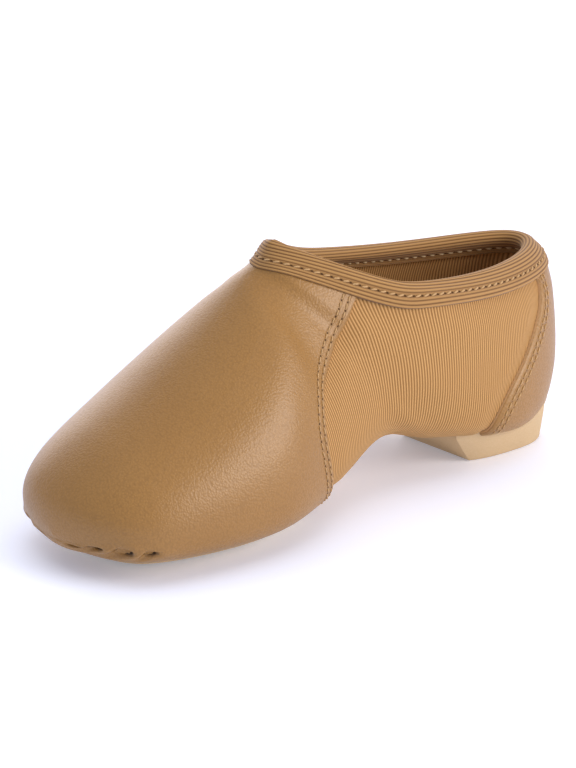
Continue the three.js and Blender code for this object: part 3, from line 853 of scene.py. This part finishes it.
def stitch_row(name, line, out, pitch, thread_mm, slant, sunk, hole_mm, length_share=0.36,
               thread=THREAD):
    """A row of lockstitches on a line, with a dark bead of painted shadow for the needle's hole between each two.
    """
    at = even_places(line, pitch)
    centres = take(line, at)
    normal = unit(take(out, at))
    step = unit(take(np.gradient(line, axis=0), at))
    side = unit(np.cross(normal, step))
    along = unit(step + slant * side)
    pieces = [joined_beads(name, centres - normal * sunk, along, normal, pitch * length_share,
                           thread_mm / 2, thread_mm * 0.42, thread_mm * 0.3, thread)]
    # Each needle hole is a flat dark bead: painted shadow where the real hole shows only shade.
    holes_at = np.clip(at + np.gradient(at) / 2, 0, len(line) - 1.001)
    hole_normal = unit(take(out, holes_at))
    hole_step = unit(take(np.gradient(line, axis=0), holes_at))
    holes = take(line, holes_at) - hole_normal * (sunk + 0.02)
    pieces.append(joined_beads(name + "_hole_shadows", holes, hole_step, hole_normal, hole_mm * 0.6,
                               hole_mm / 2, 0.09, 0.0, NEEDLE_HOLE_SHADE))
    return pieces


def beside(turns, rings, distance, towards):
    """The line on the face that runs beside a seam at a distance: towards the toe (+1) or the heel (-1)."""
    on_face = np.zeros(len(turns))
    for _ in range(BESIDE_STEPS):
        here = face_point(rings, turns)
        side = unit(np.cross(unit(np.gradient(here, axis=0)), outward(rings, turns)))
        side = side * (towards * np.sign(side[:, 0].sum()) * distance / BESIDE_STEPS)
        rings, turns = stepped(rings, turns, on_face, side)
    return turns, rings


def beside_vamp_seam(distance):
    turns, rings = vamp_seam()
    return beside(turns[turns > 0.5], rings[turns > 0.5], distance, 1)


def beside_counter_seam(distance):
    rings = np.linspace(COUNTER_LOWEST, 11.9, 500)
    return beside(reach_at(rings), rings, distance, -1)


def make_seam_stitches(prefix, line_beside, lowest, hole_mm):
    pieces = []
    for row, distance in enumerate(STITCH_ROWS):
        turns, rings = line_beside(distance)
        points = face_point(rings, turns)
        kept = (rings < ring_below_topline(TAPE_EDGE - 0.3, turns)) & (points[:, 2] > lowest)
        turns, rings = turns[kept], rings[kept]
        for side, label in ((1, "left"), (-1, "right")):
            on_face = face_point(rings, turns * side)
            beside_tape = 0.42 * (1 - soft_step(nearest_distance(on_face, TOPLINE_POINTS), 6.6, 12.5))
            line = form_point(rings, turns * side, beside_tape - 0.02 + crease_depth(on_face))
            out = outward(rings, turns * side)
            pieces += stitch_row(f"{prefix}_{label}_{row + 1}", line, out, STITCH_PITCH, SEAM_THREAD,
                                 SEAM_SLANT * side, 0.02, hole_mm)
    return pieces


# ---------------------------------------------------------------- Collar binding


TAPE_INSIDE = 0.9        # the tape lies closer to the wall than its stiff solid
TAPE_OUTSIDE = 1.72      # to the bottom of the valleys between its ridges
TAPE_RIDGE_HIGH = 0.2
TAPE_FOLD = 1.0          # the fold's centre under the topline, above the wall's own edge
TAPE_EDGE = 6.8          # the tape's two edges under the topline
TAPE_SEAM = 4.2          # the tape's stitch row under the topline
TAPE_SEAM_INSIDE = 3.3   # the same row on the inside, where the tape sits higher
TAPE_PITCH = 2.45
TAPE_THREAD = 0.46
TAPE_HOLE = 0.5
TAPE_SLANT = 0.30
TAPE_STANDS = 1.0        # how much higher the fold stands on the shoe's sides than at its ends
TAPE_TURNS = np.linspace(0, 2 * math.pi, 420, endpoint=False)


def binding_path(count):
    """The tape's outer side from one edge over the fold to the other, in even steps: length run,
    distance under the topline, and angle round the fold (0 outside, pi inside)."""
    leg = TAPE_EDGE - TAPE_FOLD
    arc = math.pi * TAPE_OUTSIDE
    total = 2 * leg + arc
    run = np.linspace(0, total, count)
    angle = np.clip((run - leg) / TAPE_OUTSIDE, 0, math.pi)
    distance = TAPE_FOLD + np.maximum(np.maximum(leg - run, run - leg - arc), 0)
    return run, distance, angle, total


def tape_rise(distance, turns):
    """How far the tape's fold stands up at the sides, fading down its legs."""
    fade = 1 - np.clip((distance - TAPE_FOLD) / (TAPE_EDGE - TAPE_FOLD), 0, 1)
    return fade * (TAPE_STANDS * np.sin(turns) ** 2 - 0.4 * np.clip(-np.cos(turns), 0, 1) ** 3)


def eased(grid):
    """Evens out the slight corner that the last's rings have on each side, along the tape."""
    near = np.exp(-(((TAPE_TURNS % math.pi) - math.pi / 2) / 0.3) ** 2)[:, None]
    for _ in range(140):
        grid = grid + near * 0.5 * ((np.roll(grid, 1, axis=-2) + np.roll(grid, -1, axis=-2)) / 2 - grid)
    return grid


def make_collar_binding():
    turns = TAPE_TURNS
    run, distance, angle, total = binding_path(170)
    ridge = np.abs(np.sin(math.pi * run / TAPE_RIDGE_MM))
    crown = ridge ** 0.6
    end = np.minimum(run, total - run)
    rounded = np.sqrt(np.clip(1 - (1 - np.clip(end / 0.4, 0, 1)) ** 2, 0, 1))
    row = np.where(angle < 1, TAPE_SEAM, TAPE_SEAM_INSIDE)
    stitched = bump_of(distance, row, 0.5) * (distance > TAPE_FOLD)
    height = TAPE_OUTSIDE - TAPE_INSIDE + TAPE_RIDGE_HIGH * crown * (1 - 0.7 * stitched) - 0.10 * stitched
    radius = TAPE_INSIDE + rounded * height
    _, inner_distance, inner_angle, _ = binding_path(40)
    wanted = np.unique(np.concatenate([distance, inner_distance]))
    ring_of = dict(zip(wanted, rings_below_topline(wanted, turns)))
    columns = []
    for d, a, r in list(zip(distance, angle, radius)) + list(
            zip(inner_distance[::-1], inner_angle[::-1], np.full(40, TAPE_INSIDE))):
        lift = (r * math.sin(a) + tape_rise(d, turns))[:, None]
        base = form_point(ring_of[d], turns, np.full(len(turns), WALL_MIDDLE - r * math.cos(a)))
        above = form_point(ring_of[d] + 0.02, turns, np.full(len(turns), WALL_MIDDLE - r * math.cos(a)))
        columns.append(base + unit(above - base) * lift)
    grid = eased(np.stack(columns))
    rows = len(grid)
    faces = grid_faces(rows, len(turns), True, True)
    number = np.arange(rows * len(turns)).reshape(rows, len(turns))
    closing = strip_faces(number[-1], number[0], True)
    piece = mesh_piece("collar_binding_tape", grid.reshape(-1, 3), np.vstack([faces, closing]), [TAPE])
    # painted light and shade: lighter on each ridge's crown, darker in the valleys, in the stitch row and towards
    # the tape's two rounded edges
    shade = np.clip(crown * 1.3 - 0.3, 0, 1) * (0.1 + 0.9 * rounded ** 3) * (1 - 0.35 * stitched)
    shade = np.concatenate([shade, np.zeros(40)])
    point_values(piece, "ridge", np.repeat(shade, len(turns)))
    return piece


def make_binding_stitches():
    turns = TAPE_TURNS
    pieces = []
    for facing, label, under, thread in ((1, "outside", TAPE_SEAM, THREAD),
                                         (-1, "inside", TAPE_SEAM_INSIDE, BOBBIN_THREAD)):
        rings = ring_below_topline(under, turns)
        depth = np.full(len(turns), WALL_MIDDLE - facing * (TAPE_OUTSIDE - 0.02))
        line = form_point(rings, turns, depth)
        above = form_point(rings + 0.02, turns, depth)
        line = eased(line + unit(above - line) * tape_rise(under, turns)[:, None])
        out = outward(rings, turns) * facing
        line, out = np.vstack([line, line[:1]]), np.vstack([out, out[:1]])
        pieces += stitch_row(f"binding_stitches_{label}", line, out, TAPE_PITCH, TAPE_THREAD,
                             TAPE_SLANT * facing, 0.0, TAPE_HOLE, 0.33, thread)
    return pieces


# ---------------------------------------------------------------- Sole pieces


def under_place(x, y, depth):
    """Ring and turn on the underside that lie over a place on the floor, by stepping towards it."""
    v = np.interp(x, [-70, -62, -33, -15.5, 0, 14.5, 31, 51, 65, 71.6, 75], [9.4, 9, 8, 7, 6, 5, 4, 3, 2, 1, 0.3])
    turn = np.clip(y / 30.0, -1.2, 1.2)
    for _ in range(14):
        here = form_point(v, turn, depth)
        by_v = (form_point(v + 0.01, turn, depth) - here) / 0.01
        by_turn = (form_point(v, turn + 0.01, depth) - here) / 0.01
        miss_x, miss_y = x - here[..., 0], y - here[..., 1]
        scale = by_v[..., 0] * by_turn[..., 1] - by_v[..., 1] * by_turn[..., 0]
        scale = np.where(np.abs(scale) < 1e-3, 1e-3, scale)
        step_v = (miss_x * by_turn[..., 1] - miss_y * by_turn[..., 0]) / scale
        step_turn = (by_v[..., 0] * miss_y - by_v[..., 1] * miss_x) / scale
        v = np.clip(v + np.clip(step_v, -0.4, 0.4), 0.3, 10.6)
        turn = np.clip(turn + np.clip(step_turn, -0.3, 0.3), -1.75, 1.75)
    return v, turn


def under_height(x, y, depth):
    v, turn = under_place(x, y, np.broadcast_to(depth, x.shape))
    return form_point(v, turn, np.broadcast_to(depth, x.shape))[..., 2]


def plan_outline(inset, count=260):
    """The shoe's outline from above, moved in: toe, left side, round the heel and back."""
    v = np.linspace(0.0, 8.7, 60)
    left = face_point(v, math.pi / 2)[:, :2]
    right = face_point(v, -math.pi / 2)[::-1, :2]
    back = face_point(9.8, np.linspace(1.1, -1.1, 24))[:, :2]
    outline = np.vstack([left, back, right[:-1]])
    for _ in range(3):
        outline = (np.roll(outline, 1, axis=0) + 2 * outline + np.roll(outline, -1, axis=0)) / 4
    steps = np.linalg.norm(np.diff(np.vstack([outline, outline[:1]]), axis=0), axis=1)
    run = np.concatenate([[0], np.cumsum(steps)])
    wanted = np.linspace(0, run[-1], count, endpoint=False)
    closed = np.vstack([outline, outline[:1]])
    even = np.stack([np.interp(wanted, run, closed[:, k]) for k in (0, 1)], axis=1)
    way = unit(np.roll(even, -1, axis=0) - np.roll(even, 1, axis=0))
    return even + inset * np.stack([-way[:, 1], way[:, 0]], axis=1)


def sole_sheet(name, outline, spine, top_depth, bottom_depth, materials, edge_mm, thinned=0.0):
    """A sheet under the foot, from rings of its outline drawn in towards its spine, with a slightly
    rounded edge. The floor presses it flat, and its edge may be thinned from below."""
    shares = np.concatenate([np.linspace(0.0, 0.86, 16), [0.9, 0.94, 0.97, 0.99, 1.0]])
    grid = spine[None] + (outline - spine)[None] * shares[::-1, None, None]
    x, y = grid[..., 0], grid[..., 1]
    run = np.linalg.norm(grid - outline[None], axis=-1)
    rounding = edge_mm * (1 - np.sqrt(np.clip(1 - (1 - np.clip(run / edge_mm, 0, 1)) ** 2, 0, 1)))
    top = under_height(x, y, np.full(x.shape, top_depth)) - rounding
    lower = bottom_depth + thinned * (1 - soft_step(run, 0.0, 4.5))
    bottom = np.maximum(under_height(x, y, lower), 0.0) + rounding
    outer = np.concatenate([grid, bottom[..., None]], axis=-1)
    inner = np.concatenate([grid, top[..., None]], axis=-1)
    rows, columns = x.shape
    faces = np.vstack([
        grid_faces(rows, columns, True, False),
        grid_faces(rows, columns, True, True, rows * columns),
        strip_faces(np.arange(columns), rows * columns + np.arange(columns), True),
    ])
    points = np.vstack([outer.reshape(-1, 3), inner.reshape(-1, 3)])
    return mesh_piece(name, points, faces, materials)


def make_outsole():
    outline = plan_outline(OUTSOLE_INSET)
    rear = shoe_x(0.572)
    bow = rear + 8.0 * (1 - np.sqrt(np.clip(1 - (outline[:, 1] / (BALL_WIDTH / 2)) ** 2, 0, 1)))
    outline = np.stack([np.maximum(outline[:, 0], bow), outline[:, 1]], axis=1)
    kept = np.concatenate([[True], np.linalg.norm(np.diff(outline, axis=0), axis=1) > 0.05])
    outline = outline[kept]
    spine = np.stack([np.clip(outline[:, 0], rear + 14, 54.0), np.zeros(len(outline))], axis=1)
    return sole_sheet("forefoot_outsole_suede", outline, spine, OUTSOLE_TOP + 0.35, OUTSOLE_BOTTOM,
                      [SUEDE], 0.25, 0.95)


def make_insole():
    outline = plan_outline(INSOLE_INSET)
    spine = np.stack([np.clip(outline[:, 0], -52.0, 52.0), np.zeros(len(outline))], axis=1)
    return sole_sheet("insole_cloth", outline, spine, INSOLE_TOP, INSOLE_BOTTOM, [SOCK_CLOTH], 0.3)


HEEL_BASE_LENGTH = 28.5
HEEL_BASE_WIDTH = 27.8
HEEL_SETBACK = 4.9
HEEL_FLARE = 2.2
HEEL_FLARE_LIMIT = 1.25   # times the seat height, above which the wall stands straight
HEEL_RIM = 2.6            # how far the block's thin rim comes up the leather
HEEL_RIM_THICK = 0.22
HEEL_TOP_SUNK = 0.5       # the block's top lies inside the leather and the knit over it
BREAST_RAKE = 5.4
HEEL_SQUARENESS = 2.6
UNCUT_REACH = 1.48


def heel_outline(height, drawn_in, turns):
    """The block's outline at a height, drawn in where its edges are rounded."""
    lean = min(height / HEEL_SEAT_HEIGHT, HEEL_FLARE_LIMIT)
    half = HEEL_BASE_WIDTH / 2 + HEEL_FLARE * lean - drawn_in
    back = shoe_x(0) + HEEL_SETBACK + drawn_in
    breast = shoe_x(0) + HEEL_SETBACK + HEEL_BASE_LENGTH + BREAST_RAKE * lean - drawn_in
    rear = HEEL_BASE_LENGTH / 2 + HEEL_FLARE * lean - drawn_in
    centre = back + rear
    front = (breast - centre) * UNCUT_REACH
    c, s = np.cos(turns), np.sin(turns)
    length = np.where(c >= 0, front, rear)
    x = centre + length * np.sign(c) * np.abs(c) ** (2 / HEEL_SQUARENESS)
    y = half * np.sign(s) * np.abs(s) ** (2 / HEEL_SQUARENESS)
    return np.stack([x, y], axis=-1), breast


def seat_place(x, y, sunk):
    """Ring, turn and depth of the top of the heel block, sunk into the leather and the knit over it."""
    x, y = np.asarray(x, float), np.asarray(y, float)
    depth = np.full(x.shape, sunk)
    for _ in range(3):
        v, turn = under_place(x, y, depth)
        points = face_point(v, turn)
        ahead = points[..., 0] - edge_x(COUNTER_EDGE, points[..., 2])
        depth = sunk + knit_depth(points) * soft_step(ahead, -2.5, 2.0)
    v, turn = under_place(x, y, depth)
    return v, turn, depth, ahead


def seat_height(x, y, sunk=HEEL_TOP_SUNK):
    v, turn, depth, _ = seat_place(x, y, sunk)
    return form_point(v, turn, depth)[..., 2]


def heel_rim(ring):
    """Rows that carry the block's top a little way up the outside of the leather, thinning out."""
    v, turn, depth, ahead = seat_place(ring[:, 0], ring[:, 1], 0.0)
    length = 0.05 + HEEL_RIM * soft_step(-ahead, 0.0, 5.0) * soft_step(ring[:, 0], shoe_x(0.03), shoe_x(0.09))
    rows = []
    for share in (0.25, 0.5, 0.75, 0.95, 1.0):
        if share < 1.0:
            out = outward(v, turn)
            up = unit(np.array([0, 0, 1.0]) - out[:, 2:] * out) * (length * 0.25)[:, None]
            v, turn = stepped(v, turn, depth, up)
        stand = np.where(length > 0.1, HEEL_RIM_THICK * math.sqrt(max(1 - share ** 2, 0)), 0.0)
        sunk = HEEL_TOP_SUNK if share == 1.0 else 0.0
        rows.append(form_point(v, turn, depth - stand + sunk))
    return rows


def make_heel():
    """The low moulded block: a small round on its lower edge, its top shaped to the heel seat."""
    breast_turn = math.acos(UNCUT_REACH ** (-HEEL_SQUARENESS / 2))
    wall = np.linspace(breast_turn, 2 * math.pi - breast_turn, 150)
    rows = []
    for height, drawn_in in ((0.0, 0.45), (0.06, 0.22), (0.2, 0.08), (0.45, 0.0)):
        outline, _ = heel_outline(height, drawn_in, wall)
        across = np.linspace(outline[-1, 1], outline[0, 1], 42)[1:-1]
        face = np.stack([np.full(40, outline[0, 0]), across], axis=1)
        ring = np.vstack([outline, face])
        rows.append(np.column_stack([ring, np.full(len(ring), height)]))
    for share in np.linspace(0.12, 1.0, 9):
        outline, _ = heel_outline(0.45, 0.0, wall)
        for _ in range(4):
            base = np.vstack([outline, np.stack([
                np.full(40, outline[0, 0]), np.linspace(outline[-1, 1], outline[0, 1], 42)[1:-1]], axis=1)])
            ceiling = seat_height(base[:, 0], base[:, 1], 0.0)
            height = 0.45 + share * (ceiling - 0.45)
            lifted = []
            for k, z in enumerate(height[:len(wall)]):
                lifted.append(heel_outline(z, 0.0, wall[k:k + 1])[0][0])
            outline = np.array(lifted)
        breasts = np.array([heel_outline(z, 0.0, wall[:1])[1] for z in height[len(wall):]])
        across = np.linspace(outline[-1, 1], outline[0, 1], 42)[1:-1]
        face = np.stack([breasts, across], axis=1)
        ring = np.vstack([outline, face])
        ceiling = seat_height(ring[:, 0], ring[:, 1], 0.0)
        rows.append(np.column_stack([ring, 0.45 + share * (ceiling - 0.45)]))
    rows += heel_rim(rows[-1])
    grid = np.stack(rows)
    count = grid.shape[1]
    seat = []
    centre = np.array([-57.0, 0.0])
    for share in (0.85, 0.6, 0.3, 0.05):
        ring = centre + (grid[-1, :, :2] - centre) * share
        seat.append(np.column_stack([ring, seat_height(ring[:, 0], ring[:, 1])]))
    tread = [np.column_stack([centre + (grid[0, :, :2] - centre) * share, np.zeros(count)])
             for share in (0.05, 0.5, 0.97)]
    whole = np.concatenate([np.stack(tread), grid, np.stack(seat)])
    rows_now = len(whole)
    faces = grid_faces(rows_now, count, True, True).tolist()
    faces.append(list(range(count)))
    faces.append([(rows_now - 1) * count + j for j in range(count)][::-1])
    return mesh_piece("heel_block", whole.reshape(-1, 3), faces, [FOAM])


# ---------------------------------------------------------------- The shoe


def fit(piece, slot, *nodes):
    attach(piece, "root")
    if nodes:
        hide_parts(*nodes)


fit(make_upper(), "stretch_fabric", "upper")
fit(make_vamp(), "tan_leather", "vamp")
fit(make_heel_counter(), "tan_leather", "heel_counter")
fit(make_collar_binding(), "binding_tape", "collar_binding")
fit(make_outsole(), "sole_suede", "forefoot_outsole")
fit(make_insole(), "insole_cloth", "insole")
fit(make_heel(), "heel_foam", "heel")
for stitches in make_binding_stitches():
    fit(stitches, "binding_tape")
for stitches in make_seam_stitches("vamp_stitches", beside_vamp_seam, 4.0, VAMP_HOLE):
    fit(stitches, "tan_leather")
for stitches in make_seam_stitches("counter_stitches", beside_counter_seam, 8.5, COUNTER_HOLE):
    fit(stitches, "tan_leather")

# ---------------------------------------------------------------- Floor, light and camera


def make_floor():
    mesh = bpy.data.meshes.new("studio_floor")
    reach = 3.0
    mesh.from_pydata([(-reach, -reach, 0), (reach, -reach, 0), (reach, reach, 0), (-reach, reach, 0)],
                     [], [(0, 1, 2, 3)])
    material, tree = new_finish("studio_floor_white")
    finish_surface(tree, {"Base Color": hex_colour("F2F4FA"), "Roughness": 0.9, "Specular IOR Level": 0.2,
                          "Emission Color": hex_colour("DCE8FF"), "Emission Strength": 0.2})
    mesh.materials.append(material)
    floor = bpy.data.objects.new("studio_floor", mesh)
    bpy.context.scene.collection.objects.link(floor)


AZIMUTH = math.radians(48.163)
ELEVATION = math.radians(19.955)
DISTANCE = 0.995185
TARGET = Vector((-0.00144, -0.007298, 0.025))
LENS = 195.8


def make_camera():
    back = Vector((math.cos(AZIMUTH) * math.cos(ELEVATION), math.sin(AZIMUTH) * math.cos(ELEVATION),
                   math.sin(ELEVATION)))
    data = bpy.data.cameras.new("camera")
    data.sensor_fit = "AUTO"
    data.sensor_width = 36.0
    data.lens = LENS
    data.clip_start = 0.01
    data.clip_end = 50.0
    camera = bpy.data.objects.new("camera", data)
    camera.location = TARGET + back * DISTANCE
    camera.rotation_mode = "QUATERNION"
    camera.rotation_quaternion = (-back).to_track_quat("-Z", "Y")
    bpy.context.scene.collection.objects.link(camera)
    bpy.context.scene.camera = camera


def soft_box(name, from_way, distance, size, radiance, colour, in_gloss=True, in_matte=True):
    """A softbox towards the shoe, as bright as radiance says, where 1 is the white of the floor."""
    data = bpy.data.lights.new(name, "AREA")
    data.shape = "RECTANGLE"
    data.size, data.size_y = size
    data.energy = radiance * math.pi * size[0] * size[1]
    data.color = hex_colour(colour)[:3]
    light = bpy.data.objects.new(name, data)
    way = Vector(from_way).normalized()
    light.location = Vector((0, 0, 0.02)) + way * distance
    light.rotation_mode = "QUATERNION"
    light.rotation_quaternion = way.to_track_quat("Z", "Y")
    light.visible_glossy = in_gloss
    light.visible_diffuse = in_matte
    bpy.context.scene.collection.objects.link(light)


def make_light():
    world = bpy.data.worlds.new("studio")
    world.use_nodes = True
    back = world.node_tree.nodes["Background"]
    back.inputs["Color"].default_value = hex_colour("E6EAFF")
    back.inputs["Strength"].default_value = 0.62
    bpy.context.scene.world = world
    soft_box("right_softbox", (-0.35, 0.85, 0.40), 0.9, (0.5, 0.45), 6.4, "FFF6EE")
    soft_box("gloss_card", (-0.35, 0.85, 0.40), 0.88, (0.6, 0.6), 3.0, "FFFBFA", True, False)
    soft_box("left_softbox", (-0.45, -0.90, 0.30), 0.9, (0.9, 0.6), 2.5, "FFF6F2")
    soft_box("overhead_softbox", (0.05, 0.0, 1.0), 1.2, (1.2, 1.2), 1.5, "F6F8FF", False)


make_floor()
make_light()
make_camera()
bpy.context.scene.view_settings.view_transform = "Standard"
